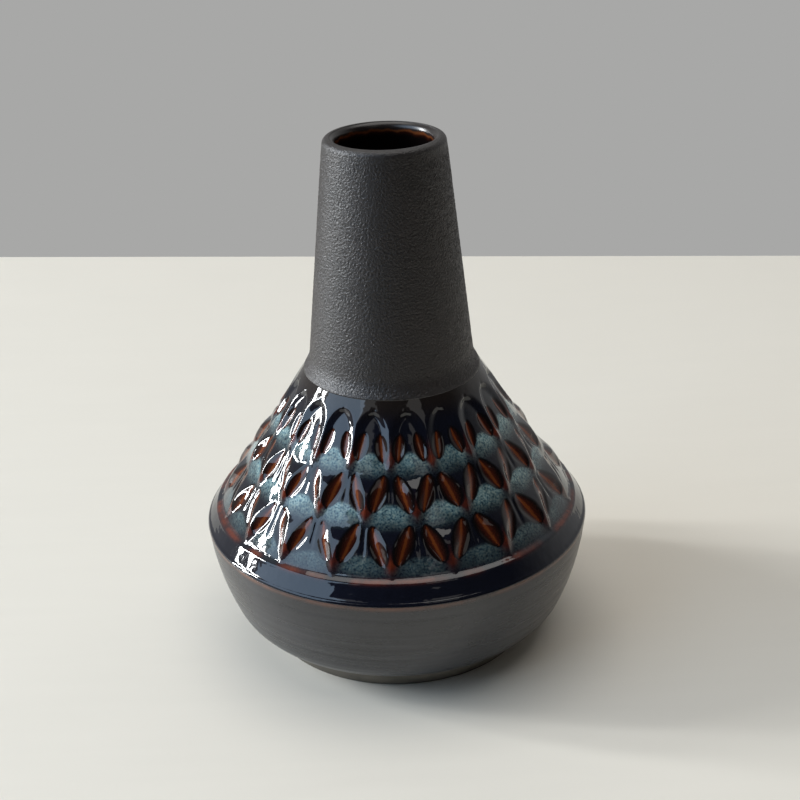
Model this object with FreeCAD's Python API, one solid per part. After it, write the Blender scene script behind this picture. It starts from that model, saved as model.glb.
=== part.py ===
"""Stoneware vase: four luted clay sections and the four glaze coats fired on to them.

Millimetres, +Z up, origin at the centre of the foot's resting face. The wall is one
profile spun about Z, drawn twice: once over the glaze and once over the bare clay. Zones,
which are also spun about Z, part the clay at its luted joints and the glaze at its edges.
A profile is a list of (radius, height) points, and a pair of them, (via, end), is an arc.
"""
import FreeCAD, Part
import math
import os

# Outside of the glazed vase.
HEIGHT = 180.0
LIP_OUTER_R = 20.0
LIP_WALL = 4.2
NECK_FOOT_R = 28.2        # where the neck's line and the shoulder's line would cross
NECK_FOOT_Z = 103.3
NECK_FILLET = 3.3         # how far the fillet there runs up and down from the crossing
NECK_FILLET_OUT = 0.4     # how far its middle stands out from the crossing
RIDGE_R = 67.6            # the sharp ring at the widest place
RIDGE_Z = 44.5
RIDGE_BELOW = 0.9         # how far its rounding runs down the bowl
RIDGE_ABOVE = 1.2         # and up the shoulder
RIDGE_EASE = 0.15         # how much of the radius the rounding has taken off by its low end
BOWL_VIA = (65.2, 30.0)
BOWL_WAIST = (60.4, 15.4)
BOWL_CHEEK = (58.2, 11.8)
BOWL_EDGE_R = 54.6        # crease between the bowl and the turned bevel of the foot
BOWL_EDGE_Z = 8.8
FOOT_R = 47.7
FOOT_RECESS_R = 40.0
FOOT_RECESS_Z = 4.5
FOOT_ROUND = 0.7

# Inside of the glazed vase, and the glaze.
NECK_WALL = 5.4
SHOULDER_WALL = 7.4
BOWL_WALL = 6.2
FLOOR_TOP = 11.0
FLOOR_R = 45.0
BELLY_HALF = 3.0          # the inside of the ridge is an arc, from this far above it
BELLY_LOW = 8.0           # to this far below it
BELLY_EASE = 0.3          # and its low end is this much narrower than its middle
COVE_R = 55.8             # the inside's cove, on its way down to the floor
COVE_Z = 24.0
COAT = 0.6                # measured along the radius
LEDGE = 0.01              # least width of the step at the crease, so that it never vanishes

# Heights of the luted joints, of the rebates that lap them, and of the glaze edges.
NECK_JOINT_Z = 102.0
RIDGE_JOINT_Z = 41.0
LAP = 2.4
NECK_COAT_Z = 100.0
FAR = 100.0               # a radius past everything
PAST = 1.0                # how far the zones reach past the vase's ends
CORE_STEP = 2.0           # how far the core reaches into the floor
CORE_WALL = 4.5           # how far the core stays inside the outer surface
CORE_LIP = 8.0            # how far below the lip the core turns upright
CORE_FLOOR_R = 50.0

# Carved niches: three rings of them on the shoulder, every other ring half a step on.
NICHES_AROUND = 19
NICHE_DEG = -2.3          # where the second ring has its front niche, measured from the front
NICHE_DRIFT = 0.1         # they were set out by eye, and crowd towards the right of the front
NICHE_TOP_Z = (97.0, 83.0, 69.5)
NICHE_LOW_Z = (80.0, 66.0, 52.0)
NICHE_R = (5.6, 6.2, 6.8) # half thickness of the spindle that cuts each ring's niches
NICHE_DEPTH = 1.6         # depth at the middle of a niche


def shoulder_r(z):
    """Outer radius of the shoulder's cone at a height."""
    return RIDGE_R + (NECK_FOOT_R - RIDGE_R) * (z - RIDGE_Z) / (NECK_FOOT_Z - RIDGE_Z)


def neck_r(z):
    """Outer radius of the neck's cone at a height."""
    return NECK_FOOT_R + (LIP_OUTER_R - NECK_FOOT_R) * (z - NECK_FOOT_Z) / (HEIGHT - NECK_FOOT_Z)


def turned(profile):
    """Closes a profile of lines and arcs and spins it once about Z."""
    edges = []
    here = FreeCAD.Vector(profile[0][0], 0, profile[0][1])
    for step in profile[1:] + [profile[0]]:
        is_arc = isinstance(step[0], tuple)
        end = step[1] if is_arc else step
        there = FreeCAD.Vector(end[0], 0, end[1])
        if is_arc:
            via = FreeCAD.Vector(step[0][0], 0, step[0][1])
            edges.append(Part.Arc(here, via, there).toShape())
        else:
            edges.append(Part.LineSegment(here, there).toShape())
        here = there
    face = Part.Face(Part.Wire(edges))
    return face.revolve(FreeCAD.Vector(0, 0, 0), FreeCAD.Vector(0, 0, 1), 360)


def slab(low, high):
    """Everything between two heights."""
    return turned([(0, low), (FAR, low), (FAR, high), (0, high)])


def vessel(coat):
    """The whole hollow vase, with every glazed surface drawn back by coat."""
    lip_z = HEIGHT - LIP_WALL / 2
    lip_mid_r = neck_r(lip_z) - LIP_WALL / 2
    fillet_low = NECK_FOOT_Z - NECK_FILLET
    fillet_high = NECK_FOOT_Z + NECK_FILLET
    ridge_top = RIDGE_Z + RIDGE_ABOVE
    inner_ridge_r = RIDGE_R - BOWL_WALL
    belly_low_r = inner_ridge_r - BELLY_EASE
    return turned([
        (0, FOOT_RECESS_Z),
        (FOOT_RECESS_R, FOOT_RECESS_Z),
        (FOOT_RECESS_R, FOOT_ROUND),
        (FOOT_RECESS_R + FOOT_ROUND, 0),
        (FOOT_R - FOOT_ROUND, 0),
        (FOOT_R, FOOT_ROUND),
        (BOWL_EDGE_R - COAT, BOWL_EDGE_Z),
        (BOWL_EDGE_R - coat + LEDGE, BOWL_EDGE_Z),
        ((BOWL_CHEEK[0] - coat, BOWL_CHEEK[1]), (BOWL_WAIST[0] - coat, BOWL_WAIST[1])),
        ((BOWL_VIA[0] - coat, BOWL_VIA[1]), (RIDGE_R - RIDGE_EASE - coat, RIDGE_Z - RIDGE_BELOW)),
        ((RIDGE_R - coat, RIDGE_Z), (shoulder_r(ridge_top) - coat, ridge_top)),
        (shoulder_r(fillet_low) - coat, fillet_low),
        ((NECK_FOOT_R + NECK_FILLET_OUT - coat, NECK_FOOT_Z), (neck_r(fillet_high) - coat, fillet_high)),
        (neck_r(lip_z) - coat, lip_z),
        ((lip_mid_r, HEIGHT - coat), (neck_r(lip_z) - LIP_WALL + coat, lip_z)),
        (neck_r(fillet_high) - NECK_WALL + coat, fillet_high),
        (shoulder_r(fillet_low) - SHOULDER_WALL + coat, fillet_low),
        (inner_ridge_r - BELLY_HALF + coat, RIDGE_Z + BELLY_HALF),
        ((inner_ridge_r + coat, RIDGE_Z - BELLY_HALF), (belly_low_r + coat, RIDGE_Z - BELLY_LOW)),
        ((COVE_R + coat, COVE_Z), (FLOOR_R + coat, FLOOR_TOP - coat)),
        (0, FLOOR_TOP - coat),
    ])


def mid_wall():
    """A solid core that reaches halfway into the wall, and through the top of the lip."""
    lip_z = HEIGHT - LIP_WALL / 2
    lip_mid_r = neck_r(lip_z) - LIP_WALL / 2
    return turned([
        (0, FLOOR_TOP - CORE_STEP),
        (CORE_FLOOR_R, FLOOR_TOP - CORE_STEP),
        (RIDGE_R - CORE_WALL, RIDGE_Z - BELLY_LOW),
        (RIDGE_R - CORE_WALL, RIDGE_Z),
        (shoulder_r(NECK_JOINT_Z) - CORE_WALL, NECK_JOINT_Z),
        (lip_mid_r, lip_z - CORE_LIP),
        (lip_mid_r, HEIGHT + PAST),
        (0, HEIGHT + PAST),
    ])


def niche_point(ring, step, z):
    """A point on the shoulder's cone, on the middle line of a niche."""
    half = 0.5 * ((ring + 1) % 2)
    even = math.radians(NICHE_DEG + (step + half) * 360.0 / NICHES_AROUND)
    turn = even + NICHE_DRIFT * (1 - math.cos(even))
    r = shoulder_r(z)
    return FreeCAD.Vector(r * math.sin(turn), -r * math.cos(turn), z)


def niche(ring, step, grown):
    """A pointed spindle laid down the shoulder, which cuts one niche to its depth."""
    start = niche_point(ring, step, NICHE_TOP_Z[ring])
    end = niche_point(ring, step, NICHE_LOW_Z[ring])
    radius = NICHE_R[ring]
    tip = FreeCAD.Vector((end - start).Length / 2 + grown, 0, 0)
    arc = Part.Arc(-tip, FreeCAD.Vector(0, radius + grown, 0), tip).toShape()
    chord = Part.LineSegment(tip, -tip).toShape()
    lens = Part.Face(Part.Wire([arc, chord]))
    solid = lens.revolve(FreeCAD.Vector(0, 0, 0), FreeCAD.Vector(1, 0, 0), 360)
    middle = (start + end) * 0.5
    outward = FreeCAD.Vector(middle.x, middle.y, 0).normalize()
    rise = (RIDGE_R - NECK_FOOT_R) / (NECK_FOOT_Z - RIDGE_Z)
    normal = (outward + FreeCAD.Vector(0, 0, rise)).normalize()
    along = (end - start).normalize()
    turn = FreeCAD.Rotation(along, normal, normal, "XZY")
    solid.Placement = FreeCAD.Placement(middle + normal * (radius - NICHE_DEPTH), turn)
    return solid


def niches(grown):
    """The spindles of every ring of niches."""
    rings = range(len(NICHE_R))
    return [niche(ring, step, grown) for ring in rings for step in range(NICHES_AROUND)]


def main():
    os.makedirs("parts", exist_ok=True)
    glazed = vessel(0).cut(niches(0))
    clay = vessel(COAT).cut(niches(COAT))
    core = mid_wall()
    skin = glazed.cut(clay)
    outer_skin = skin.cut(core)

    foot_zone = turned([
        (FOOT_RECESS_R, -PAST), (FAR, -PAST), (FAR, BOWL_EDGE_Z), (FOOT_RECESS_R, BOWL_EDGE_Z),
    ])
    lap_r = RIDGE_R - BOWL_WALL / 2
    bowl_zone = turned([
        (0, -PAST), (FAR, -PAST), (FAR, RIDGE_JOINT_Z), (lap_r, RIDGE_JOINT_Z),
        (lap_r, RIDGE_JOINT_Z + LAP), (0, RIDGE_JOINT_Z + LAP),
    ])
    collar_r = neck_r(NECK_JOINT_Z) - NECK_WALL / 2
    neck_zone = turned([
        (0, NECK_JOINT_Z + LAP), (collar_r, NECK_JOINT_Z + LAP), (collar_r, NECK_JOINT_Z),
        (FAR, NECK_JOINT_Z), (FAR, HEIGHT + PAST), (0, HEIGHT + PAST),
    ])
    bowl_coat_zone = slab(BOWL_EDGE_Z, RIDGE_Z)
    shoulder_coat_zone = slab(RIDGE_Z, NECK_COAT_Z)
    neck_coat_zone = slab(NECK_COAT_Z, HEIGHT + PAST)

    parts = {
        "foot_ring": clay.common(foot_zone),
        "bowl": clay.common(bowl_zone).cut(foot_zone),
        "shoulder": clay.cut([bowl_zone, neck_zone]),
        "neck": clay.common(neck_zone),
        "bowl_glaze": outer_skin.common(bowl_coat_zone),
        "shoulder_glaze": outer_skin.common(shoulder_coat_zone),
        "neck_glaze": outer_skin.common(neck_coat_zone),
        "liner_glaze": skin.common(core),
    }
    for name, shape in parts.items():
        print(name, "solids", len(shape.Solids), "valid", shape.isValid(), "volume", round(shape.Volume, 1))
        shape.exportStep("parts/" + name + ".step")


main()
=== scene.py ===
"""Looks of a stoneware vase: a grained satin neck, a glossy carved shoulder and a satin bowl.

Every visible coat is a surface spun about Z. Its profile is a list of (radius, height) points
in millimetres, and its relief is worked out for each point from its azimuth and its height.
Azimuth is 0 at the front, and grows towards the right.
"""
import math

import bpy
import numpy as np
from bpy.props import FloatProperty, FloatVectorProperty, IntProperty, PointerProperty
from mathutils import Matrix, Vector


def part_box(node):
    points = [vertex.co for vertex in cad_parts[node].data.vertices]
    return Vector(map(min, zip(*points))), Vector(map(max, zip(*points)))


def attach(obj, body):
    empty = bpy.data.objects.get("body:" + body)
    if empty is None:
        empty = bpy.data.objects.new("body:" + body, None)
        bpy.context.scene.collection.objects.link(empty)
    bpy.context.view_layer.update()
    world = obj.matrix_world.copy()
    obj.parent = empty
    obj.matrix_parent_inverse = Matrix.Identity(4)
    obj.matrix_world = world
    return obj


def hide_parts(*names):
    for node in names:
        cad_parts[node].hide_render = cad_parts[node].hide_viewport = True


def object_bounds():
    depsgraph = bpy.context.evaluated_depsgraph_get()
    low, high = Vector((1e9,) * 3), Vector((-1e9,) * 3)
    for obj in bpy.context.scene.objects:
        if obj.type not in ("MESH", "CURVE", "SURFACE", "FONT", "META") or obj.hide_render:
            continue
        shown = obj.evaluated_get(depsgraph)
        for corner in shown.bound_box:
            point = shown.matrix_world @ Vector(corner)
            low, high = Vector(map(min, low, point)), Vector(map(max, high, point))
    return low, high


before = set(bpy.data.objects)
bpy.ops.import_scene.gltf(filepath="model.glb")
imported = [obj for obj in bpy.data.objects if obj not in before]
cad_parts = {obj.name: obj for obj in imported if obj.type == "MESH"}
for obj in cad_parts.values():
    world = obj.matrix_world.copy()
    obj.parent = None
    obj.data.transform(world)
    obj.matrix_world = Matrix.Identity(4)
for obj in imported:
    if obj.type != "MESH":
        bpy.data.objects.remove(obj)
CAD_BOX = [list(corner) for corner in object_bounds()]

bl_info = {
    "name": "Stoneware Vase",
    "version": (1, 0, 0),
    "blender": (4, 5, 0),
    "location": "3D View > Sidebar > Vase",
    "description": "Builds the glazed surfaces of a stoneware vase around its packed model",
    "category": "Add Mesh",
}

MM = 0.001
TAU = 2 * math.pi

# Where the coats start and end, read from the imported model.
TOP_Z = CAD_BOX[1][2] / MM
NECK_EDGE_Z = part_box("neck_glaze")[0].z / MM
RIDGE_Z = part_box("shoulder_glaze")[0].z / MM
RIDGE_BULGE = 0.02        # how far the ridge's rounding stands past its middle point, and a little
RIDGE_R = min(-CAD_BOX[0][0], CAD_BOX[1][0], -CAD_BOX[0][1], CAD_BOX[1][1]) / MM - RIDGE_BULGE
CREASE_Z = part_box("bowl_glaze")[0].z / MM
COAT = 0.6
BACKING = 0.9             # how far behind the glazed surface a coat's own back lies

# The outside's other corners.
NECK_FOOT_R, NECK_FOOT_Z, NECK_FILLET, NECK_FILLET_OUT = 28.2, 103.3, 3.3, 0.4
BOWL_VIA, BOWL_WAIST, BOWL_CHEEK = (65.2, 30.0), (60.4, 15.4), (58.2, 11.8)
BOWL_EDGE_R, FOOT_R, FOOT_RECESS_R, FOOT_RECESS_Z, FOOT_ROUND = 54.6, 47.7, 40.0, 4.5, 0.7

# The rings of nodes that the niches and their leaves hang between.
NODE_Z = (93.6, 81.8, 67.8, 53.7)
RING_OFFSET = (0.5, 0.0, 0.5, 0.0)
CONE_OUT, CONE_UP = 0.83, 0.56    # the cone's normal: how far it leans outwards, and up
ARCH_TOP_Z = 96.6         # where the top row's arches close
BAND_Z = 50.6             # upper edge of the plain band over the ridge


def linear(code):
    """Linear red, green and blue of an sRGB hex code."""
    parts = [int(code[i:i + 2], 16) / 255 for i in (1, 3, 5)]
    return tuple(c / 12.92 if c <= 0.04045 else ((c + 0.055) / 1.055) ** 2.4 for c in parts)


# ---------------------------------------------------------------- settings


def length(name, text, millimetres):
    """A length property in metres whose default is given in millimetres."""
    return FloatProperty(name=name, description=text, default=millimetres * MM, unit="LENGTH", precision=5)


def colour(name, text, code):
    """A colour property whose default is an sRGB hex code."""
    return FloatVectorProperty(name=name, description=text, default=linear(code), subtype="COLOR",
                               size=3, min=0, max=1)


class VaseShapeSettings(bpy.types.PropertyGroup):
    """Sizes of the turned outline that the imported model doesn't fix."""
    lip_outer_radius: length("Lip radius", "Outer radius of the lip", 20.0)
    lip_wall: length("Lip wall", "Thickness of the rounded lip", 4.2)
    neck_wall: length("Neck wall", "Thickness of the neck", 5.4)
    grain_height: length("Grain", "Height of the grains in the neck's glaze", 0.10)
    throwing_height: length("Throwing lines", "Height of the faint turning lines on the bowl", 0.035)


class VaseReliefSettings(bpy.types.PropertyGroup):
    """Sizes of the carving on the shoulder."""
    leaves_around: IntProperty(name="Leaves", description="Cells of carving round the shoulder", default=19)
    node_phase: FloatProperty(name="Phase", description="Azimuth of the second ring's front node",
                              default=math.radians(-2.3), subtype="ANGLE")
    node_drift: FloatProperty(name="Drift", description="How unevenly the nodes were set out",
                              default=0.1, subtype="FACTOR")
    niche_depth: length("Niche depth", "Depth of the niches below the plain cone", 1.15)
    tongue_height: length("Tongue height", "Height of a tongue over the plain cone", 0.5)
    leaf_depth: length("Leaf depth", "Depth of a leaf's scoop in the wall it lies on", 0.62)
    leaf_half_width: length("Leaf half width", "Half width of a leaf in the lowest row", 2.95)


class VaseFinishSettings(bpy.types.PropertyGroup):
    """Colours of the fired glazes and clay."""
    glaze_ground: colour("Ground", "Iron-black ground of the gloss glaze", "#0B0D17")
    glaze_patch: colour("Patch", "Milky blue of the gloss glaze where it lies thick", "#64868E")
    glaze_pale: colour("Pale patch", "Palest cream in the blue", "#A2B6B0")
    glaze_amber: colour("Amber", "Amber floor of the leaves", "#6A3517")
    glaze_brown: colour("Brown", "Red-brown where the gloss glaze breaks over edges", "#43180D")
    bowl_glaze: colour("Bowl", "Pewter grey of the satin glaze", "#26262A")
    neck_glaze: colour("Neck", "Dark pewter of the grained glaze", "#1A1413")
    liner: colour("Liner", "Brown-black of the liner glaze", "#0E0908")
    clay: colour("Clay", "Grey-brown of the fired clay", "#5C574E")


class VaseStageSettings(bpy.types.PropertyGroup):
    """The table, the room and its windows."""
    table: colour("Table", "Pale top of the table", "#DBD6CB")
    wall: colour("Wall", "Grey of the room behind", "#A8A8A7")
    window_power: FloatProperty(name="Window", description="Power of the main window's two panes together",
                                default=218.0, unit="POWER")
    second_power: FloatProperty(name="Second window", description="Power of the dim cool window",
                                default=11.5, unit="POWER")
    ceiling_power: FloatProperty(name="Ceiling", description="Light that the ceiling gives back",
                                 default=19.0, unit="POWER")
    front_power: FloatProperty(name="Front ceiling", description="Light of each near ceiling panel",
                               default=0.24, unit="POWER")


# ---------------------------------------------------------------- profiles


def shoulder_r(z):
    """Radius of the shoulder's plain cone: a straight line from the ridge to the neck."""
    return RIDGE_R + (NECK_FOOT_R - RIDGE_R) * (z - RIDGE_Z) / (NECK_FOOT_Z - RIDGE_Z)


def neck_r(z):
    """Radius of the neck's plain cone: a straight line from its foot to the lip."""
    lip_r = bpy.context.scene.vase_shape.lip_outer_radius / MM
    return NECK_FOOT_R + (lip_r - NECK_FOOT_R) * (z - NECK_FOOT_Z) / (TOP_Z - NECK_FOOT_Z)


def arc(start, via, end, count):
    """Points on the circle through three points, evenly spaced in angle from start to end."""
    (ax, ay), (bx, by), (cx, cy) = start, via, end
    d = 2 * (ax * (by - cy) + bx * (cy - ay) + cx * (ay - by))
    a2, b2, c2 = ax * ax + ay * ay, bx * bx + by * by, cx * cx + cy * cy
    ox = (a2 * (by - cy) + b2 * (cy - ay) + c2 * (ay - by)) / d
    oy = (a2 * (cx - bx) + b2 * (ax - cx) + c2 * (bx - ax)) / d
    first, middle, last = (math.atan2(y - oy, x - ox) for x, y in (start, via, end))
    sweep = (last - first) % TAU
    if (middle - first) % TAU > sweep:
        sweep -= TAU
    angle = first + sweep * np.linspace(0, 1, count)
    radius = math.hypot(ax - ox, ay - oy)
    return np.stack([ox + radius * np.cos(angle), oy + radius * np.sin(angle)], 1)


def line(start, end, count):
    """Points evenly spaced on a straight line."""
    t = np.linspace(0, 1, count)[:, None]
    return np.array(start) * (1 - t) + np.array(end) * t


def joined(*runs):
    """One profile from several runs, each starting where the last one ended."""
    return np.concatenate([np.asarray(runs[0])] + [np.asarray(run)[1:] for run in runs[1:]])


def spun(profile, around, lift=None):
    """Points of a profile carried round Z, each moved along the profile's normal by lift."""
    azimuth = np.linspace(0, TAU, around, endpoint=False)
    step = np.gradient(profile, axis=0)
    normal = np.stack([step[:, 1], -step[:, 0]], 1)
    normal /= np.maximum(np.linalg.norm(normal, axis=1), 1e-9)[:, None]
    if lift is None:
        lift = np.zeros((len(profile), around))
    r = profile[:, :1] + normal[:, :1] * lift
    z = profile[:, 1:] + normal[:, 1:] * lift
    return np.stack([r * np.sin(azimuth), -r * np.cos(azimuth), np.broadcast_to(z, r.shape)], -1)


# ---------------------------------------------------------------- noise


def ease(x, low, high):
    """0 below low, 1 above high, and a smooth S between."""
    t = np.clip((x - low) / (high - low), 0, 1)
    return t * t * (3 - 2 * t)


def band_noise(rows, around, row_step, around_step, wavelength, spread, seed):
    """Random waves near one wavelength, periodic round the pot, with a standard deviation of 1.

    White noise on the grid keeps only the frequencies within a ring, by a bell curve in the
    logarithm of frequency about 1 / wavelength.
    """
    white = np.random.default_rng(seed).standard_normal((rows, around))
    fy = np.fft.fftfreq(rows, row_step)[:, None]
    fx = np.fft.rfftfreq(around, around_step)[None, :]
    f = np.maximum(np.hypot(fx, fy), 1e-6)
    kept = np.fft.rfft2(white) * np.exp(-(np.log(f * wavelength) / spread) ** 2)
    waves = np.fft.irfft2(kept, s=(rows, around))
    return waves / waves.std()


def slow_waves(x, y, seed, count=6):
    """A few random cosines, each whole in turns round the pot: smooth unevenness within about 1."""
    rng = np.random.default_rng(seed)
    total = 0
    for turns in range(1, count + 1):
        slope, phase = rng.uniform(-0.12, 0.12), rng.uniform(0, TAU)
        total = total + np.cos(turns * x + slope * y + phase)
    return total / math.sqrt(count)


# ---------------------------------------------------------------- meshes


def make_piece(name, points, faces, replaces, attributes=None):
    """Puts arrays into a smooth mesh, rides it on the vase and hides the CAD node it stands for."""
    mesh = bpy.data.meshes.new(name)
    corners = np.concatenate([f.ravel() for f in faces]).astype(np.int32)
    sizes = np.concatenate([np.full(len(f), f.shape[1]) for f in faces])
    starts = np.concatenate([[0], np.cumsum(sizes)[:-1]]).astype(np.int32)
    mesh.vertices.add(len(points))
    mesh.vertices.foreach_set("co", (points * MM).astype(np.float32).ravel())
    mesh.loops.add(len(corners))
    mesh.loops.foreach_set("vertex_index", corners)
    mesh.polygons.add(len(sizes))
    mesh.polygons.foreach_set("loop_start", starts)
    mesh.polygons.foreach_set("use_smooth", np.ones(len(sizes), bool))
    mesh.update(calc_edges=True)
    for key, values in (attributes or {}).items():
        layer = mesh.attributes.new(key, "FLOAT", "POINT")
        layer.data.foreach_set("value", values.astype(np.float32).ravel())
    piece = bpy.data.objects.new(name, mesh)
    bpy.context.scene.collection.objects.link(piece)
    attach(piece, "root")
    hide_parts(*replaces)
    return piece


def ring_faces(rings, around, closed):
    """Quads between neighbouring rings of points, and from the last ring to the first if closed."""
    i = np.arange(rings if closed else rings - 1)[:, None]
    j = np.arange(around)[None, :]
    up, on = (i + 1) % rings, (j + 1) % around
    corners = [i * around + j, i * around + on, up * around + on, up * around + j]
    return np.stack([np.broadcast_to(c, (len(i), around)) for c in corners], -1).reshape(-1, 4)


def pole_faces(ring_start, around, pole, upward):
    """A fan of triangles from a ring of points to a point on the axis."""
    j = np.arange(around)
    on = (j + 1) % around
    pair = (j, on) if upward else (on, j)
    return np.stack([ring_start + pair[0], ring_start + pair[1], np.full(around, pole)], 1)


def coat_back(profile, every, depth):
    """The way back down behind a coat: every few points of its profile, moved inwards by depth."""
    back = profile[::-every]
    return np.stack([back[:, 0] - depth, back[:, 1]], 1)


def ridge_arc():
    """The small rounding over the sharp ring, from the bowl's side of it to the shoulder's."""
    end_z = RIDGE_Z + 1.2
    return arc((RIDGE_R - 0.15, RIDGE_Z - 0.9), (RIDGE_R, RIDGE_Z), (shoulder_r(end_z), end_z), 15)


def core_line():
    """The middle of the wall, where the liner's back meets the clay, from the floor up to the lip."""
    shape = bpy.context.scene.vase_shape
    lip_mid_r = neck_r(TOP_Z - 2.1) - shape.lip_wall / MM / 2
    return [(50.0, 9.0), (RIDGE_R - 4.5, RIDGE_Z - 8.0), (RIDGE_R - 4.5, RIDGE_Z),
            (shoulder_r(102.0) - 4.5, 102.0), (lip_mid_r, TOP_Z - 10.1)]


# ---------------------------------------------------------------- carving


def lattice_turn(azimuth, carving):
    """Cells counted round from the front node, for azimuths in radians.

    The nodes were set out by eye: azimuth = even + drift * (1 - cos(even)). A table turns that
    round, and the even angle is then counted in steps of one cell.
    """
    even = np.linspace(-TAU, TAU, 7201)
    wrapped = (azimuth + math.pi) % TAU - math.pi
    turned = np.interp(wrapped, even + carving.node_drift * (1 - np.cos(even)), even)
    return (turned - carving.node_phase) * carving.leaves_around / TAU


def carved_leaves(u, z, cell, carving):
    """Scoop depth, place inside a leaf, distance to the nearest leaf, for each point.

    Between two rings of nodes the leaves lie on a zigzag. A leaf's half width goes as
    (1 - s * s) ** 0.6, with s from -1 to 1 along it, and its depth across as
    (1 - x * x) ** 1.3, with x the distance from its middle over that half width.
    """
    leaf_half = carving.leaf_half_width / MM
    leaf_deep = carving.leaf_depth / MM
    width_of_row, deep_of_row = (0.66, 0.92, 1.0), (0.8, 1.0, 1.05)
    reach = ((0.22, 0.86), (0.15, 0.87), (0.12, 0.88))
    middle_of_row, slope_of_row = (0.27, 0.262, 0.258), (0.14, 0.29, 0.30)
    rng = np.random.default_rng(41)
    vary = rng.normal(0, 1, (3, 2, carving.leaves_around, 4))
    scoop, inside, gap = np.zeros_like(u), np.zeros_like(u), np.full_like(u, 9.0)
    for row in range(3):
        top, bottom = NODE_Z[row], NODE_Z[row + 1]
        v = u - RING_OFFSET[row]
        nearest = np.floor(v + 0.5)
        side = (v > nearest).astype(int)
        own = vary[row, side, nearest.astype(int) % carving.leaves_around]
        w = np.abs(v - nearest)
        t = (top - z) / (top - bottom) + 0.012 * own[..., 0]
        tall = (top - bottom) * 1.2
        lean = math.atan(0.5 * TAU * shoulder_r((top + bottom) / 2) / carving.leaves_around / tall)
        low, high = reach[row]
        held = np.clip(t, low, high)
        middle = (low + high) / 2
        path = middle_of_row[row] + slope_of_row[row] * (held - middle)
        across = (w - path) * cell * math.cos(lean) + 0.12 * own[..., 1]
        s = np.clip((t - (low + high) / 2) / ((high - low) / 2), -1, 1)
        wide = leaf_half * width_of_row[row] * (1 + 0.07 * own[..., 2])
        half = wide * (1 - s * s) ** 0.6
        x = np.abs(across) / np.maximum(half, 1e-3)
        deep = leaf_deep * deep_of_row[row] * (1 + 0.1 * own[..., 3])
        scoop = np.maximum(scoop, deep * (1 - s * s) ** 0.5 * np.clip(1 - x * x, 0, 1) ** 1.3)
        inside = np.maximum(inside, np.clip(1 - x, 0, 1) * (half > 0.02))
        gap = np.minimum(gap, np.hypot(np.maximum(np.abs(across) - half, 0), (t - held) * tall))
    return scoop, inside, gap


def carving_at(azimuth, z):
    """Height of the carved shoulder over its plain cone, and the masks its glaze reads.

    Everything starts at the niches' floor. Tongues stand up from it, as do the arms between the
    arches of the top row. A tongue hangs from a waist to the node below. With d the distance
    inside its edge, its wall is an S-curve of d, and another S-curve of the depth below the
    waist lifts it out of the pool there. A soft crease runs down the middle of each niche.
    """
    carving = bpy.context.scene.vase_carving
    u = lattice_turn(azimuth, carving)
    z = z + 0.25 * slow_waves(azimuth, z, 5)
    cell = TAU * shoulder_r(z) / carving.leaves_around
    scoop, inside, gap = carved_leaves(u, z, cell, carving)
    floor, crest = -carving.niche_depth / MM, carving.tongue_height / MM

    height = np.full_like(u, floor)
    for ring in (1, 2):
        waist, node = NODE_Z[ring], NODE_Z[ring + 1]
        v = u - RING_OFFSET[ring + 1]
        x = np.abs(v - np.floor(v + 0.5)) * cell
        down = (waist - z) / (waist - node)
        edge = (0.5 * cell * (1 - down) - x) * 0.9
        out = ease(waist - z, 1.5, 8.0)
        top = crest * (1.15 - 0.8 * np.clip(down, 0, 1))
        height = np.maximum(height, floor + ease(edge, -2.4, 2.3) * out * (top - floor))

    rise = np.clip((z - NODE_Z[1]) / (ARCH_TOP_Z - NODE_Z[1]), 0, 1)
    arch = (1 - rise ** 3.4) ** 0.5
    v = u - RING_OFFSET[1]
    x = np.abs(v - np.floor(v + 0.5)) * cell
    edge = 0.5 * cell * (1 - arch) - x - 0.35 * np.clip(NODE_Z[1] - z, 0, 9)
    arm = np.maximum(ease(edge, -2.6, 1.3), ease(z, ARCH_TOP_Z - 0.4, ARCH_TOP_Z + 1.2))
    band = ease(BAND_Z + 1.8 - z, 0, 2.3)
    height = np.maximum(height, floor * (1 - np.maximum(arm, band)))
    height = height - scoop + 0.16 * np.exp(-((z - BAND_Z) / 0.55) ** 2)

    patch, node = np.zeros_like(u), np.zeros_like(u)
    for ring in (1, 2, 3):
        waist = NODE_Z[ring]
        v = u - (1 - RING_OFFSET[ring] * 2) * 0.5
        off = np.abs(v - np.floor(v + 0.5))
        if ring > 1:
            crease = np.exp(-(off * cell / 0.75) ** 2) * ease(z, waist + 2.0, waist + 6.0)
            height = height - 0.28 * crease * ease(NODE_Z[ring - 1] + 0.5 - z, 0, 2.0)
        p = 2 * off
        brow_z = waist + 4.2 * (1 - p * p) + 0.5 * slow_waves(azimuth * 3, z, 20 + ring)
        level = (1.0, 1.0, 0.3)[ring - 1]
        # painted shade: the pooled blue is full just under its brow and fades out downward to 4 mm below the
        # waist
        patch_painted_shade_fade = ease(z, waist - 4.0, waist + 3.0) * ease(brow_z + 0.3 - z, 0, 1.2)
        patch = np.maximum(patch, level * patch_painted_shade_fade * (0.25 + 0.75 * ease(1 - p, 0.0, 0.6)))
        v = u - RING_OFFSET[ring]
        dx = np.abs(v - np.floor(v + 0.5)) * cell
        dz = z - waist - 1.8
        node = np.maximum(node, np.exp(-(dx / 1.8) ** 2 - (dz / np.where(dz > 0, 2.9, 1.9)) ** 2))
    stripe = np.exp(-((z - BAND_Z - 0.5) / 0.75) ** 2) * ease(slow_waves(azimuth * 5, z, 9), -0.9, 0.5)
    masks = {"leaf": inside, "rim": gap, "patch": patch * (1 - ease(inside, 0, 0.1)),
             "breaking": np.maximum(node * 0.9, stripe * 0.85)}
    return height, masks


# ---------------------------------------------------------------- materials


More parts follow.
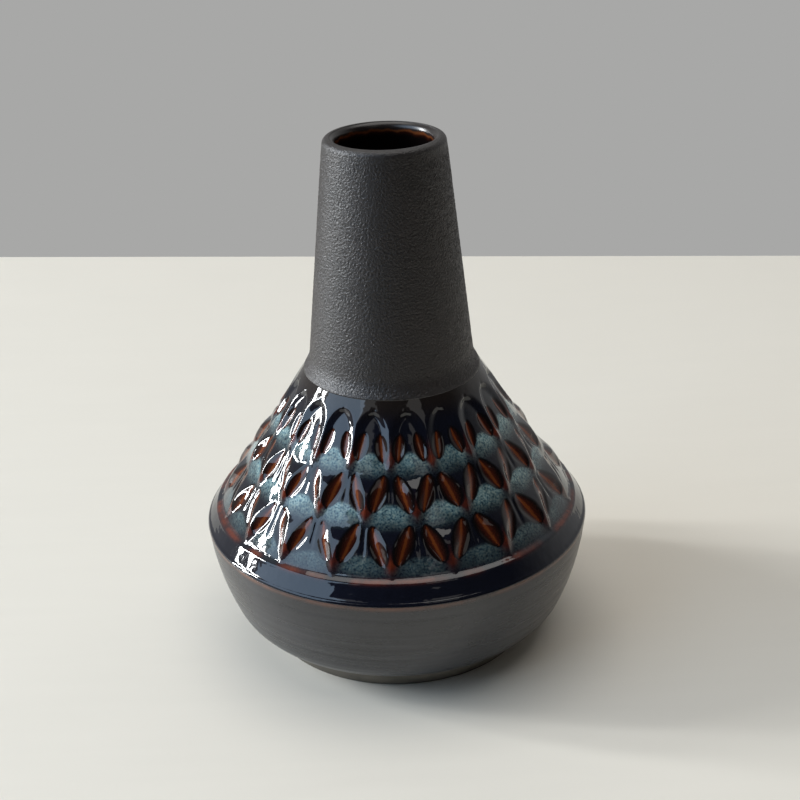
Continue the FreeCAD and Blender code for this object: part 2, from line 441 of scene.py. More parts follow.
def add(tree, kind, settings=None, sockets=None, stops=None):
    """Adds a node, sets its properties, sets or links its inputs, and fills its colour ramp."""
    node = tree.nodes.new(kind)
    for key, value in (settings or {}).items():
        setattr(node, key, value)
    for key, value in (sockets or {}).items():
        if isinstance(value, bpy.types.NodeSocket):
            tree.links.new(value, node.inputs[key])
        else:
            node.inputs[key].default_value = value
    if stops:
        ramp = node.color_ramp
        while len(ramp.elements) < len(stops):
            ramp.elements.new(0.5)
        for element, (place, value) in zip(ramp.elements, stops):
            element.position = place
            element.color = (*value, 1)
    return node


def start_material(name):
    """An empty material, its node tree, its shader and its object coordinates."""
    material = bpy.data.materials.new(name)
    material.use_nodes = True
    tree = material.node_tree
    tree.nodes.clear()
    output = tree.nodes.new("ShaderNodeOutputMaterial")
    shader = tree.nodes.new("ShaderNodeBsdfPrincipled")
    tree.links.new(shader.outputs[0], output.inputs[0])
    place = tree.nodes.new("ShaderNodeTexCoord").outputs["Object"]
    return material, tree, shader, place


def per_mm(size):
    """The scale of a pattern in object coordinates whose features are size millimetres across."""
    return 1 / (size * MM)


def rgba(three):
    """A colour with full alpha."""
    return (*three, 1)


def gloss_relief_glaze():
    """Iron-black gloss glaze over carving, fired so that it broke brown and pooled blue.

    Stoneware glaze is a glass: IOR about 1.5, no metal, almost no roughness. Just under the neck,
    all the way round, a painted reflection makes it grey-brown. It runs off edges
    and shows red-brown there, lies amber in the leaves with a dark outline, and turns milky
    blue with fine dark specks where it pooled across the niches; painted shade fades that blue
    downward from its top edge.
    """
    material, tree, shader, place = start_material("glossy_iron_glaze_fired_over_carving")
    look = bpy.context.scene.vase_finish
    masks = {key: add(tree, "ShaderNodeAttribute", {"attribute_name": key}).outputs["Fac"]
             for key in ("leaf", "rim", "patch", "breaking")}
    cloud = add(tree, "ShaderNodeTexNoise", {"noise_dimensions": "3D"},
                {"Vector": place, "Scale": per_mm(5.0), "Detail": 3.0, "Roughness": 0.6}).outputs[0]
    fine = add(tree, "ShaderNodeTexNoise", {"noise_dimensions": "3D"},
               {"Vector": place, "Scale": per_mm(0.7), "Detail": 2.0, "Roughness": 0.6}).outputs[0]

    ground = add(tree, "ShaderNodeMixRGB", None, {
        0: cloud, 1: rgba(look.glaze_ground), 2: rgba(linear("#11141F"))}).outputs[0]
    apart = add(tree, "ShaderNodeSeparateXYZ", None, {0: place})
    # painted reflection: the ground turns grey-brown from 92 to 99.5 mm up, all the way round
    painted_reflection_under_neck = add(tree, "ShaderNodeMapRange", {"interpolation_type": "SMOOTHSTEP"}, {
        0: apart.outputs[2], 1: 92.0 * MM, 2: 99.5 * MM}).outputs[0]
    ground = add(tree, "ShaderNodeMixRGB", None, {
        0: painted_reflection_under_neck, 1: ground, 2: rgba(linear("#1F1A18"))}).outputs[0]
    brown = add(tree, "ShaderNodeMixRGB", None, {
        0: cloud, 1: rgba(look.glaze_brown), 2: rgba(linear("#7A3216"))}).outputs[0]
    broken = add(tree, "ShaderNodeMath", {"operation": "MULTIPLY"}, {
        0: masks["breaking"], 1: add(tree, "ShaderNodeMapRange", None, {
            0: cloud, 1: 0.35, 2: 0.6, 3: 0.45, 4: 1.0}).outputs[0]}).outputs[0]
    coat = add(tree, "ShaderNodeMixRGB", None, {0: broken, 1: ground, 2: brown}).outputs[0]

    specks = add(tree, "ShaderNodeValToRGB", None, {0: fine}, [
        (0.34, linear("#2C4454")), (0.45, look.glaze_patch), (0.68, look.glaze_pale)]).outputs[0]
    milky = add(tree, "ShaderNodeMapRange", None, {0: cloud, 1: 0.3, 2: 0.62, 3: 0.35, 4: 1.0}).outputs[0]
    # the patch mask holds the pooled blue glaze, with painted shade that fades it downward
    milk = add(tree, "ShaderNodeMath", {"operation": "MULTIPLY"}, {0: masks["patch"], 1: milky}).outputs[0]
    coat = add(tree, "ShaderNodeMixRGB", None, {0: milk, 1: coat, 2: specks}).outputs[0]

    outline = add(tree, "ShaderNodeMapRange", {"interpolation_type": "SMOOTHSTEP"}, {
        0: masks["rim"], 1: 0.1, 2: 0.75, 3: 0.85, 4: 0.0}).outputs[0]
    coat = add(tree, "ShaderNodeMixRGB", None, {0: outline, 1: coat, 2: rgba(linear("#07070B"))}).outputs[0]
    wander = add(tree, "ShaderNodeMath", {"operation": "MULTIPLY_ADD"}, {
        0: fine, 1: 0.22, 2: masks["leaf"]}).outputs[0]
    floor = add(tree, "ShaderNodeValToRGB", None, {0: wander}, [
        (0.2, linear("#090709")), (0.45, linear("#1A0B09")), (0.72, linear("#32130B")),
        (0.9, look.glaze_brown), (1.0, look.glaze_amber)]).outputs[0]
    in_leaf = add(tree, "ShaderNodeMapRange", None, {0: masks["leaf"], 1: 0.02, 2: 0.1}).outputs[0]
    coat = add(tree, "ShaderNodeMixRGB", None, {0: in_leaf, 1: coat, 2: floor}).outputs[0]
    tree.links.new(coat, shader.inputs["Base Color"])

    rough = add(tree, "ShaderNodeMapRange", None, {0: fine, 1: 0.3, 2: 0.7, 3: 0.03, 4: 0.075}).outputs[0]
    tree.links.new(rough, shader.inputs["Roughness"])
    shader.inputs["IOR"].default_value = 1.55
    dimple = add(tree, "ShaderNodeTexNoise", {"noise_dimensions": "3D"},
                 {"Vector": place, "Scale": per_mm(3.2), "Detail": 1.0}).outputs[0]
    bump = add(tree, "ShaderNodeBump", None, {"Strength": 0.55, "Distance": 0.16 * MM, "Height": dimple})
    tree.links.new(bump.outputs[0], shader.inputs["Normal"])
    return material


def satin_pewter_glaze():
    """Satin manganese glaze, sprayed on the turned bowl and fired to a pewter sheen.

    Fine crystals in the glass make it satin: roughness about 0.3. Turning lines show in its
    sheen, with soft mottling, and it breaks orange-brown on the sharp ring.
    """
    material, tree, shader, place = start_material("satin_pewter_glaze_sprayed_and_fired")
    look = bpy.context.scene.vase_finish
    apart = add(tree, "ShaderNodeSeparateXYZ", None, {0: place})
    mottle = add(tree, "ShaderNodeTexNoise", None,
                 {"Vector": place, "Scale": per_mm(11.0), "Detail": 4.0, "Roughness": 0.55}).outputs[0]
    grain = add(tree, "ShaderNodeTexNoise", None,
                {"Vector": place, "Scale": per_mm(0.8), "Detail": 2.0}).outputs[0]
    squeezed = add(tree, "ShaderNodeVectorMath", {"operation": "MULTIPLY"},
                   {0: place, 1: (1.0, 1.0, 26.0)}).outputs[0]
    lines = add(tree, "ShaderNodeTexNoise", None,
                {"Vector": squeezed, "Scale": per_mm(38.0), "Detail": 3.0, "Roughness": 0.6}).outputs[0]
    coat = add(tree, "ShaderNodeValToRGB", None, {0: mottle}, [
        (0.3, tuple(c * 0.72 for c in look.bowl_glaze)), (0.52, look.bowl_glaze),
        (0.75, tuple(c * 1.3 for c in look.bowl_glaze))]).outputs[0]
    specks = add(tree, "ShaderNodeMapRange", None, {0: grain, 1: 0.35, 2: 0.7, 3: 0.85, 4: 1.2}).outputs[0]
    coat = add(tree, "ShaderNodeVectorMath", {"operation": "MULTIPLY"}, {0: coat, 1: specks}).outputs[0]
    edge = add(tree, "ShaderNodeMapRange", {"interpolation_type": "SMOOTHSTEP"}, {
        0: apart.outputs[2], 1: (RIDGE_Z - 2.3) * MM, 2: (RIDGE_Z - 0.4) * MM}).outputs[0]
    worn = add(tree, "ShaderNodeMath", {"operation": "MULTIPLY"}, {
        0: edge, 1: add(tree, "ShaderNodeMapRange", None, {
            0: mottle, 1: 0.35, 2: 0.6, 3: 0.15, 4: 0.8}).outputs[0]}).outputs[0]
    coat = add(tree, "ShaderNodeMixRGB", None, {0: worn, 1: coat, 2: rgba(linear("#6B3F28"))}).outputs[0]
    tree.links.new(coat, shader.inputs["Base Color"])
    sheen = add(tree, "ShaderNodeMath", {"operation": "MULTIPLY_ADD"}, {
        0: lines, 1: 0.16, 2: 0.15}).outputs[0]
    rough = add(tree, "ShaderNodeMath", {"operation": "MULTIPLY_ADD"}, {
        0: mottle, 1: 0.12, 2: sheen}).outputs[0]
    tree.links.new(rough, shader.inputs["Roughness"])
    shader.inputs["IOR"].default_value = 1.65
    uneven = add(tree, "ShaderNodeMath", {"operation": "MULTIPLY_ADD"}, {
        0: lines, 1: 0.5, 2: grain}).outputs[0]
    bump = add(tree, "ShaderNodeBump", None, {"Strength": 0.3, "Distance": 0.05 * MM, "Height": uneven})
    tree.links.new(bump.outputs[0], shader.inputs["Normal"])
    return material


def grained_neck_glaze():
    """Dark satin glaze that crawled into fine grains as it fired.

    The grains are in the mesh, and bump adds the finer ones between them. Each grain's top is
    a little smoother than the hollows, so the neck glitters softly where the window reaches it.
    """
    material, tree, shader, place = start_material("grained_pewter_glaze_crawled_in_firing")
    look = bpy.context.scene.vase_finish
    grains = add(tree, "ShaderNodeAttribute", {"attribute_name": "grain"}).outputs["Fac"]
    fine = add(tree, "ShaderNodeTexNoise", None,
               {"Vector": place, "Scale": per_mm(0.6), "Detail": 2.0, "Roughness": 0.6}).outputs[0]
    cloud = add(tree, "ShaderNodeTexNoise", None,
                {"Vector": place, "Scale": per_mm(16.0), "Detail": 3.0}).outputs[0]
    coat = add(tree, "ShaderNodeValToRGB", None, {0: cloud}, [
        (0.3, tuple(c * 0.75 for c in look.neck_glaze)),
        (0.7, tuple(c * 1.35 for c in look.neck_glaze))]).outputs[0]
    top = add(tree, "ShaderNodeMapRange", None, {0: grains, 1: -1.0, 2: 1.6, 3: 0.7, 4: 1.5}).outputs[0]
    coat = add(tree, "ShaderNodeVectorMath", {"operation": "MULTIPLY"}, {0: coat, 1: top}).outputs[0]
    tree.links.new(coat, shader.inputs["Base Color"])
    smooth = add(tree, "ShaderNodeMapRange", None, {0: grains, 1: -1.0, 2: 1.6, 3: 0.44, 4: 0.28}).outputs[0]
    rough = add(tree, "ShaderNodeMath", {"operation": "MULTIPLY_ADD"}, {
        0: fine, 1: 0.1, 2: smooth}).outputs[0]
    tree.links.new(rough, shader.inputs["Roughness"])
    shader.inputs["IOR"].default_value = 1.6
    bump = add(tree, "ShaderNodeBump", None, {"Strength": 1.0, "Distance": 0.32 * MM, "Height": fine})
    tree.links.new(bump.outputs[0], shader.inputs["Normal"])
    return material


def liner_glaze():
    """Brown-black gloss glaze, poured in and out of the vase, that broke brown inside the lip."""
    material, tree, shader, place = start_material("glossy_liner_glaze_poured_inside")
    look = bpy.context.scene.vase_finish
    apart = add(tree, "ShaderNodeSeparateXYZ", None, {0: place})
    cloud = add(tree, "ShaderNodeTexNoise", None,
                {"Vector": place, "Scale": per_mm(4.0), "Detail": 3.0}).outputs[0]
    level = add(tree, "ShaderNodeMath", {"operation": "MULTIPLY_ADD"}, {
        0: cloud, 1: 2.4 * MM, 2: apart.outputs[2]}).outputs[0]
    lip = add(tree, "ShaderNodeMapRange", {"interpolation_type": "SMOOTHSTEP"}, {
        0: level, 1: (TOP_Z - 3.4) * MM, 2: (TOP_Z + 0.2) * MM}).outputs[0]
    coat = add(tree, "ShaderNodeValToRGB", None, {0: lip}, [
        (0.0, look.liner), (0.3, linear("#2A110A")), (0.6, linear("#6A3A1E")),
        (0.85, linear("#2A211E")), (1.0, look.neck_glaze)]).outputs[0]
    tree.links.new(coat, shader.inputs["Base Color"])
    rough = add(tree, "ShaderNodeMapRange", None, {0: lip, 1: 0.5, 2: 1.0, 3: 0.07, 4: 0.3}).outputs[0]
    tree.links.new(rough, shader.inputs["Roughness"])
    shader.inputs["IOR"].default_value = 1.55
    bump = add(tree, "ShaderNodeBump", None, {"Strength": 0.2, "Distance": 0.1 * MM, "Height": cloud})
    tree.links.new(bump.outputs[0], shader.inputs["Normal"])
    return material


def stoneware_clay():
    """Vitrified grey-brown stoneware, turned and wiped, with dark iron specks and fine grog."""
    name = "vitrified_stoneware_clay_turned"
    if name in bpy.data.materials:
        return bpy.data.materials[name]
    material, tree, shader, place = start_material(name)
    look = bpy.context.scene.vase_finish
    grog = add(tree, "ShaderNodeTexNoise", None,
               {"Vector": place, "Scale": per_mm(0.7), "Detail": 3.0, "Roughness": 0.65}).outputs[0]
    cloud = add(tree, "ShaderNodeTexNoise", None,
                {"Vector": place, "Scale": per_mm(9.0), "Detail": 2.0}).outputs[0]
    iron = add(tree, "ShaderNodeTexVoronoi", {"feature": "F1"},
               {"Vector": place, "Scale": per_mm(2.6), "Randomness": 1.0}).outputs[0]
    body = add(tree, "ShaderNodeValToRGB", None, {0: cloud}, [
        (0.3, tuple(c * 0.75 for c in look.clay)), (0.7, tuple(c * 1.25 for c in look.clay))]).outputs[0]
    grain = add(tree, "ShaderNodeMapRange", None, {0: grog, 1: 0.3, 2: 0.7, 3: 0.75, 4: 1.2}).outputs[0]
    body = add(tree, "ShaderNodeVectorMath", {"operation": "MULTIPLY"}, {0: body, 1: grain}).outputs[0]
    speck = add(tree, "ShaderNodeMapRange", None, {0: iron, 1: 0.10, 2: 0.16, 3: 0.7, 4: 0.0}).outputs[0]
    body = add(tree, "ShaderNodeMixRGB", None, {0: speck, 1: body, 2: rgba(linear("#1C1613"))}).outputs[0]
    tree.links.new(body, shader.inputs["Base Color"])
    rough = add(tree, "ShaderNodeMapRange", None, {0: grog, 1: 0.3, 2: 0.7, 3: 0.5, 4: 0.72}).outputs[0]
    tree.links.new(rough, shader.inputs["Roughness"])
    shader.inputs["IOR"].default_value = 1.5
    bump = add(tree, "ShaderNodeBump", None, {"Strength": 0.4, "Distance": 0.08 * MM, "Height": grog})
    tree.links.new(bump.outputs[0], shader.inputs["Normal"])
    return material


def table_top():
    """Matt white lacquered board: nearly even, with a very faint grain in its colour and sheen."""
    material, tree, shader, place = start_material("matt_white_lacquered_board")
    look = bpy.context.scene.vase_stage
    squeezed = add(tree, "ShaderNodeVectorMath", {"operation": "MULTIPLY"},
                   {0: place, 1: (1.0, 9.0, 1.0)}).outputs[0]
    streak = add(tree, "ShaderNodeTexNoise", None,
                 {"Vector": squeezed, "Scale": per_mm(60.0), "Detail": 3.0}).outputs[0]
    top = add(tree, "ShaderNodeMapRange", None, {0: streak, 1: 0.3, 2: 0.7, 3: 0.985, 4: 1.0}).outputs[0]
    board = add(tree, "ShaderNodeVectorMath", {"operation": "MULTIPLY"},
                {0: tuple(look.table), 1: top}).outputs[0]
    tree.links.new(board, shader.inputs["Base Color"])
    rough = add(tree, "ShaderNodeMapRange", None, {0: streak, 1: 0.3, 2: 0.7, 3: 0.5, 4: 0.6}).outputs[0]
    tree.links.new(rough, shader.inputs["Roughness"])
    return material


# ---------------------------------------------------------------- operators


class VASE_OT_shoulder(bpy.types.Operator):
    """Build the carved shoulder's gloss coat and the clay under it"""
    bl_idname = "vase.shoulder"
    bl_label = "Carved shoulder"

    def execute(self, context):
        around = 700
        heights = np.concatenate([
            np.linspace(RIDGE_Z + 1.2, 49.0, 5, endpoint=False),
            np.linspace(49.0, 98.6, 101, endpoint=False),
            [98.6, NECK_EDGE_Z - 0.05, NECK_EDGE_Z],
        ])
        ridge = [point for point in ridge_arc() if point[1] > RIDGE_Z + 0.01][:-1]
        outer = np.concatenate([[(RIDGE_R, RIDGE_Z)], ridge, np.stack([shoulder_r(heights), heights], 1)])
        profile = np.concatenate([outer, coat_back(outer, 5, COAT)])
        azimuth = np.broadcast_to(np.linspace(0, TAU, around, endpoint=False), (len(profile), around))
        height, masks = carving_at(azimuth, np.broadcast_to(profile[:, 1:], azimuth.shape))
        carved = np.where(profile[:, 1:] > RIDGE_Z + 2.0, height, 0)
        carved = carved * ease(NECK_EDGE_Z - profile[:, 1:], 0, 0.6)
        points = spun(profile, around)
        points[..., 0] += carved * CONE_OUT * np.sin(azimuth)
        points[..., 1] -= carved * CONE_OUT * np.cos(azimuth)
        points[..., 2] += carved * CONE_UP
        coat = make_piece("shoulder_gloss_coat", points.reshape(-1, 3),
                          [ring_faces(len(profile), around, True)],
                          ["shoulder_glaze"], masks)
        coat.data.materials.append(gloss_relief_glaze())

        low, high = RIDGE_Z - 3.5, 102.0
        inner_r = RIDGE_R - 4.4
        under = np.stack([shoulder_r(heights[::2]) - COAT, heights[::2]], 1)
        clay = np.concatenate([
            [(inner_r, low), (RIDGE_R - 1.0, low), (RIDGE_R - COAT, RIDGE_Z)], under,
            [(shoulder_r(high) - COAT, high), (shoulder_r(high) - 4.4, high), (inner_r, RIDGE_Z)],
        ])
        around = 350
        azimuth = np.broadcast_to(np.linspace(0, TAU, around, endpoint=False), (len(clay), around))
        height, masks = carving_at(azimuth, np.broadcast_to(clay[:, 1:], azimuth.shape))
        is_carved = (clay[:, 1:] > RIDGE_Z + 2.0) & (clay[:, 1:] < NECK_EDGE_Z)
        points = spun(clay, around, np.where(is_carved, height - 0.1, 0))
        body = make_piece("shoulder_clay", points.reshape(-1, 3), [ring_faces(len(clay), around, True)],
                          ["shoulder"])
        body.data.materials.append(stoneware_clay())
        return {"FINISHED"}


class VASE_OT_neck(bpy.types.Operator):
    """Build the neck's grained coat, from its edge on the shoulder to the top of the lip"""
    bl_idname = "vase.neck"
    bl_label = "Grained neck"

    def execute(self, context):
        shape = context.scene.vase_shape
        around = 424
        half_wall = shape.lip_wall / MM / 2
        lip_z = TOP_Z - half_wall
        fillet_low, fillet_high = NECK_FOOT_Z - NECK_FILLET, NECK_FOOT_Z + NECK_FILLET
        lip_mid_r = neck_r(lip_z) - half_wall
        root_half = math.sqrt(0.5) * half_wall
        fillet = arc((shoulder_r(fillet_low), fillet_low), (NECK_FOOT_R + NECK_FILLET_OUT, NECK_FOOT_Z),
                     (neck_r(fillet_high), fillet_high), 23)
        outer = joined(
            fillet,
            line((neck_r(fillet_high), fillet_high), (neck_r(lip_z), lip_z), 190),
            arc((neck_r(lip_z), lip_z), (lip_mid_r + root_half, lip_z + root_half), (lip_mid_r, TOP_Z), 9),
        )
        noise = band_noise(len(outer), around, 0.37, 0.35, 0.95, 0.7, 17)
        noise = noise * (1 + 0.35 * band_noise(len(outer), around, 0.37, 0.35, 4.0, 0.4, 18))
        grain = np.clip(noise, -1.1, 2.4)
        z = outer[:, 1:]
        fade = ease(z, fillet_low, fillet_low + 1.2) * (1 - 0.85 * ease(z, lip_z - 3.5, lip_z))
        proud = 0.12 * ease(z, fillet_low, fillet_low + 0.5) * (1 - ease(z, fillet_low + 1.5, fillet_low + 5))
        lift = np.zeros((len(outer), around))
        lift += np.minimum(grain, 1.2) * fade * shape.grain_height / MM + proud
        back = coat_back(outer, 16, COAT)
        profile = np.concatenate([outer, back])
        lift = np.concatenate([lift, np.zeros((len(back), around))])
        points = spun(profile, around, lift)
        points[:len(outer), :, 2] = np.minimum(points[:len(outer), :, 2], TOP_Z)
        grains = np.concatenate([grain * fade, np.zeros((len(back), around))])
        coat = make_piece("neck_grained_coat", points.reshape(-1, 3),
                          [ring_faces(len(profile), around, True)],
                          ["neck_glaze"], {"grain": grains})
        coat.data.materials.append(grained_neck_glaze())
        return {"FINISHED"}


class VASE_OT_bowl(bpy.types.Operator):
    """Build the bowl's satin coat, from the crease over the foot to the sharp ring"""
    bl_idname = "vase.bowl"
    bl_label = "Satin bowl"

    def execute(self, context):
        shape = context.scene.vase_shape
        around = 480
        ridge = [point for point in ridge_arc() if point[1] < RIDGE_Z - 0.01]
        outer = joined(
            [(BOWL_EDGE_R - COAT + 0.05, CREASE_Z), (BOWL_EDGE_R - 0.1, CREASE_Z),
             (BOWL_EDGE_R, CREASE_Z + 0.08)],
            arc((BOWL_EDGE_R, CREASE_Z + 0.08), BOWL_CHEEK, BOWL_WAIST, 16),
            arc(BOWL_WAIST, BOWL_VIA, tuple(ridge[0]), 70),
            np.array(ridge),
            [ridge[-1], (RIDGE_R, RIDGE_Z)],
        )
        z = outer[:, 1]
        rng = np.random.default_rng(23)
        turning = sum(np.sin(TAU * z / wave + rng.uniform(0, TAU)) * wave
                      for wave in (1.7, 2.3, 3.1, 4.6, 6.5)) / 8
        azimuth = np.linspace(0, TAU, around, endpoint=False)
        uneven = 1 + 0.5 * slow_waves(azimuth[None, :], z[:, None], 3, 4)
        fade = (ease(z, CREASE_Z + 0.5, CREASE_Z + 3) * (1 - ease(z, RIDGE_Z - 2.5, RIDGE_Z - 0.8)))[:, None]
        lift = turning[:, None] * uneven * fade * shape.throwing_height / MM
        back = coat_back(outer, 8, COAT)
        profile = np.concatenate([outer, back])
        points = spun(profile, around, np.concatenate([lift, np.zeros((len(back), around))]))
        coat = make_piece("bowl_satin_coat", points.reshape(-1, 3), [ring_faces(len(profile), around, True)],
                          ["bowl_glaze"])
        coat.data.materials.append(satin_pewter_glaze())
        return {"FINISHED"}


class VASE_OT_liner(bpy.types.Operator):
    """Build the liner: the glazed inside, from the top of the lip down to the floor"""
    bl_idname = "vase.liner"
    bl_label = "Liner"

    def execute(self, context):
        shape = context.scene.vase_shape
        around = 240
        half_wall = shape.lip_wall / MM / 2
        lip_z = TOP_Z - half_wall
        lip_mid_r = neck_r(lip_z) - half_wall
        fillet_low, fillet_high = NECK_FOOT_Z - NECK_FILLET, NECK_FOOT_Z + NECK_FILLET
        neck_in, shoulder_in, belly_r = shape.neck_wall / MM, 7.4, RIDGE_R - 6.2
        root_half = math.sqrt(0.5) * half_wall
        core = core_line()
        back = [joined(line((1.0, 9.0), core[0], 10))]
        back += [line(a, b, 12) for a, b in zip(core, core[1:])]
        lip_start = (lip_mid_r, TOP_Z)
        outside = joined(*back, line(core[-1], (lip_mid_r, TOP_Z - 0.1), 6), [(0, 0), lip_start])
        inside = joined(
            arc(lip_start, (lip_mid_r - root_half, lip_z + root_half), (lip_mid_r - half_wall, lip_z), 13),
            line((lip_mid_r - half_wall, lip_z), (neck_r(fillet_high) - neck_in, fillet_high), 60),
            line((neck_r(fillet_high) - neck_in, fillet_high),
                 (shoulder_r(fillet_low) - shoulder_in, fillet_low), 6),
            line((shoulder_r(fillet_low) - shoulder_in, fillet_low), (belly_r - 3.0, RIDGE_Z + 3.0), 40),
            arc((belly_r - 3.0, RIDGE_Z + 3.0), (belly_r, RIDGE_Z - 3.0), (belly_r - 0.3, RIDGE_Z - 8.0), 12),
            arc((belly_r - 0.3, RIDGE_Z - 8.0), (55.8, 24.0), (45.0, 11.0), 20),
            line((45.0, 11.0), (1.0, 11.0), 20),
        )
        profile = joined(outside, inside)
        points = spun(profile, around).reshape(-1, 3)
        points = np.concatenate([points, [(0, 0, 9.0), (0, 0, 11.0)]])
        last = (len(profile) - 1) * around
        faces = [ring_faces(len(profile), around, False), pole_faces(0, around, len(points) - 2, False),
                 pole_faces(last, around, len(points) - 1, True)]
        piece = make_piece("liner_gloss_coat", points, faces, ["liner_glaze"])
        piece.data.materials.append(liner_glaze())
        return {"FINISHED"}


class VASE_OT_foot(bpy.types.Operator):
    """Build the turned foot ring with its bevel, and give the rest of the clay its finish"""
    bl_idname = "vase.foot"
    bl_label = "Foot and clay"

    def execute(self, context):
        around = 360
        top_r, inner, low = BOWL_EDGE_R - COAT, FOOT_RECESS_R, FOOT_ROUND
        profile = joined(
            arc((inner, low), (inner + 0.2, 0.2), (inner + low, 0), 5),
            line((inner + low, 0), (FOOT_R - low, 0), 6),
            arc((FOOT_R - low, 0), (FOOT_R - 0.2, 0.2), (FOOT_R, low), 7),
            line((FOOT_R, low), (top_r - 0.25, CREASE_Z - 0.32), 24),
            arc((top_r - 0.25, CREASE_Z - 0.32), (top_r - 0.05, CREASE_Z - 0.08), (top_r - 0.3, CREASE_Z), 5),
            line((top_r - 0.3, CREASE_Z), (inner, CREASE_Z), 6),
            line((inner, CREASE_Z), (inner, low), 5)[:-1],
        )
        on_bevel = (profile[:, 0] > FOOT_R) & (profile[:, 1] < CREASE_Z - 0.5)
        wobble = slow_waves(np.linspace(0, TAU, around, endpoint=False)[None, :], profile[:, 1:] * 9, 31, 5)
        points = spun(profile, around, wobble * 0.03 * on_bevel[:, None])
        ring = make_piece("foot_ring_turned", points.reshape(-1, 3), [ring_faces(len(profile), around, True)],
                          ["foot_ring"])
        ring.data.materials.append(stoneware_clay())
        for node in ("bowl", "neck"):
            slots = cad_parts[node].data.materials
            slots.clear()
            slots.append(stoneware_clay())
        return {"FINISHED"}


def look_along(place, target):
    """The turn that points a lamp from place at target."""
    return (Vector(target) - Vector(place)).to_track_quat("-Z", "Y").to_matrix().to_4x4()


def window(name, place, size, power, tint):
    """A soft rectangular light, as from a window, that faces the vase."""
    lamp = bpy.data.lights.new(name, "AREA")
    lamp.shape = "RECTANGLE"
    lamp.size, lamp.size_y = size
    lamp.energy = power
    lamp.color = tint
    holder = bpy.data.objects.new(name, lamp)
    bpy.context.scene.collection.objects.link(holder)
    holder.visible_camera = False
    holder.matrix_world = Matrix.Translation(place) @ look_along(place, (0, 0, 0.06))
    return holder


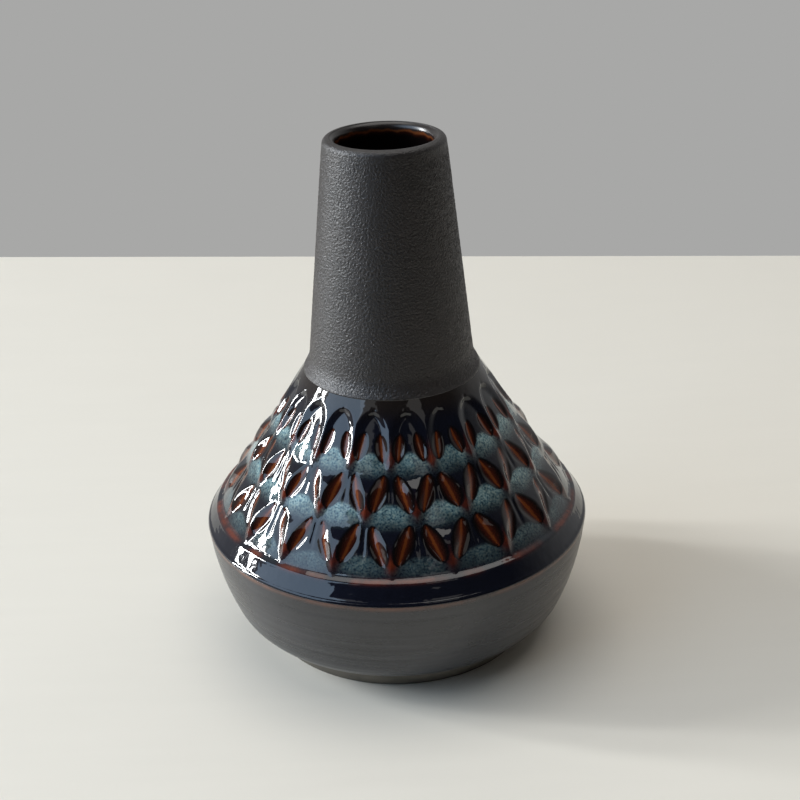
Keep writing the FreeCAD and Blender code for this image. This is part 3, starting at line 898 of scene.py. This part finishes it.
class VASE_OT_stage(bpy.types.Operator):
    """Set the pale table, the grey room, its windows and the camera"""
    bl_idname = "vase.stage"
    bl_label = "Stage"

    def execute(self, context):
        look = context.scene.vase_stage
        turn = math.radians(-5.5)
        near, far, side = -0.46, 0.39, 1.1
        corners = [(-side, near, 0), (side, near, 0),
                   (side, far + side * turn, 0), (-side, far - side * turn, 0)]
        board = bpy.data.meshes.new("table_top")
        board.from_pydata(corners, [], [(0, 1, 2, 3)])
        table = bpy.data.objects.new("table_top", board)
        context.scene.collection.objects.link(table)
        board.materials.append(table_top())

        pane, each = (0.22, 2.1), look.window_power / 2
        window("window_left_far", (-3.72, 0.98, 1.31), pane, each, (0.95, 0.98, 1.0))
        window("window_left_near", (-3.86, 0.38, 1.31), pane, each, (0.95, 0.98, 1.0))
        window("window_front_left", (-1.25, -0.55, 0.95), (1.3, 1.1), look.second_power, (0.55, 0.75, 1.0))
        window("ceiling", (0.1, 0.2, 1.9), (2.0, 1.6), look.ceiling_power, (1.0, 0.97, 0.93))
        window("ceiling_front_left", (-0.62, -0.92, 1.05), (0.36, 0.42), look.front_power, (0.96, 0.98, 1.0))
        window("ceiling_front_right", (0.52, -0.98, 1.05), (0.38, 0.42), look.front_power, (1.0, 0.97, 0.93))
        self.room(context, look)
        self.camera(context)
        context.scene.view_settings.view_transform = "Standard"
        return {"FINISHED"}

    def room(self, context, look):
        """A grey room that is dark on the near side, high up, where the lamps don't reach."""
        world = bpy.data.worlds.new("room")
        context.scene.world = world
        world.use_nodes = True
        tree = world.node_tree
        toward = add(tree, "ShaderNodeTexCoord").outputs["Generated"]
        dark_way = tuple(Vector((0.15, -0.82, 0.5)).normalized())
        facing = add(tree, "ShaderNodeVectorMath", {"operation": "DOT_PRODUCT"}, {
            0: toward, 1: dark_way}).outputs[1]
        shade = add(tree, "ShaderNodeMapRange", {"interpolation_type": "SMOOTHSTEP"}, {
            0: facing, 1: -0.15, 2: 0.65, 3: 0.0, 4: 1.0}).outputs[0]
        tint = add(tree, "ShaderNodeMixRGB", None, {
            0: shade, 1: rgba(look.wall), 2: rgba(linear("#2A2827"))}).outputs[0]
        background = tree.nodes["Background"]
        tree.links.new(tint, background.inputs[0])
        background.inputs[1].default_value = 1.0

    def camera(self, context):
        """A camera a little above the vase, looking down at it."""
        data = bpy.data.cameras.new("camera")
        data.sensor_width = 36.0
        data.lens = 65.33
        camera = bpy.data.objects.new("camera", data)
        context.scene.collection.objects.link(camera)
        pitch, yaw, roll = math.radians(25.26), math.radians(0.3), math.radians(-1.85)
        forward = Vector((math.sin(yaw) * math.cos(pitch), math.cos(yaw) * math.cos(pitch), -math.sin(pitch)))
        right = Vector((math.cos(yaw), -math.sin(yaw), 0))
        up = right.cross(forward)
        right_rolled = math.cos(roll) * right + math.sin(roll) * up
        up_rolled = -math.sin(roll) * right + math.cos(roll) * up
        matrix = Matrix((right_rolled, up_rolled, -forward)).transposed().to_4x4()
        matrix.translation = Vector((0, -0.45777, 0.30188))
        camera.matrix_world = matrix
        context.scene.camera = camera


class VASE_PT_panel(bpy.types.Panel):
    """Lists the vase's settings and the operators that build it"""
    bl_idname = "VASE_PT_panel"
    bl_label = "Stoneware Vase"
    bl_space_type = "VIEW_3D"
    bl_region_type = "UI"
    bl_category = "Vase"

    def draw(self, context):
        for group in SETTINGS:
            settings = getattr(context.scene, group)
            for key in settings.__annotations__:
                self.layout.prop(settings, key)
        for operator in OPERATORS:
            self.layout.operator(operator.bl_idname)


# ---------------------------------------------------------------- registration

SETTINGS = {"vase_shape": VaseShapeSettings, "vase_carving": VaseReliefSettings,
            "vase_finish": VaseFinishSettings, "vase_stage": VaseStageSettings}
OPERATORS = (VASE_OT_shoulder, VASE_OT_neck, VASE_OT_bowl, VASE_OT_liner, VASE_OT_foot, VASE_OT_stage)


def register():
    """Registers the settings, the operators and the panel."""
    for cls in (*SETTINGS.values(), *OPERATORS, VASE_PT_panel):
        bpy.utils.register_class(cls)
    for name, cls in SETTINGS.items():
        setattr(bpy.types.Scene, name, PointerProperty(type=cls))


def unregister():
    """Takes the settings, the operators and the panel away again."""
    for name in SETTINGS:
        delattr(bpy.types.Scene, name)
    for cls in (VASE_PT_panel, *reversed(OPERATORS), *reversed(list(SETTINGS.values()))):
        bpy.utils.unregister_class(cls)


def main():
    """Builds every piece and the stage."""
    register()
    for operator in (bpy.ops.vase.shoulder, bpy.ops.vase.neck, bpy.ops.vase.bowl, bpy.ops.vase.liner,
                     bpy.ops.vase.foot, bpy.ops.vase.stage):
        operator()


if __name__ == "__main__":
    main()
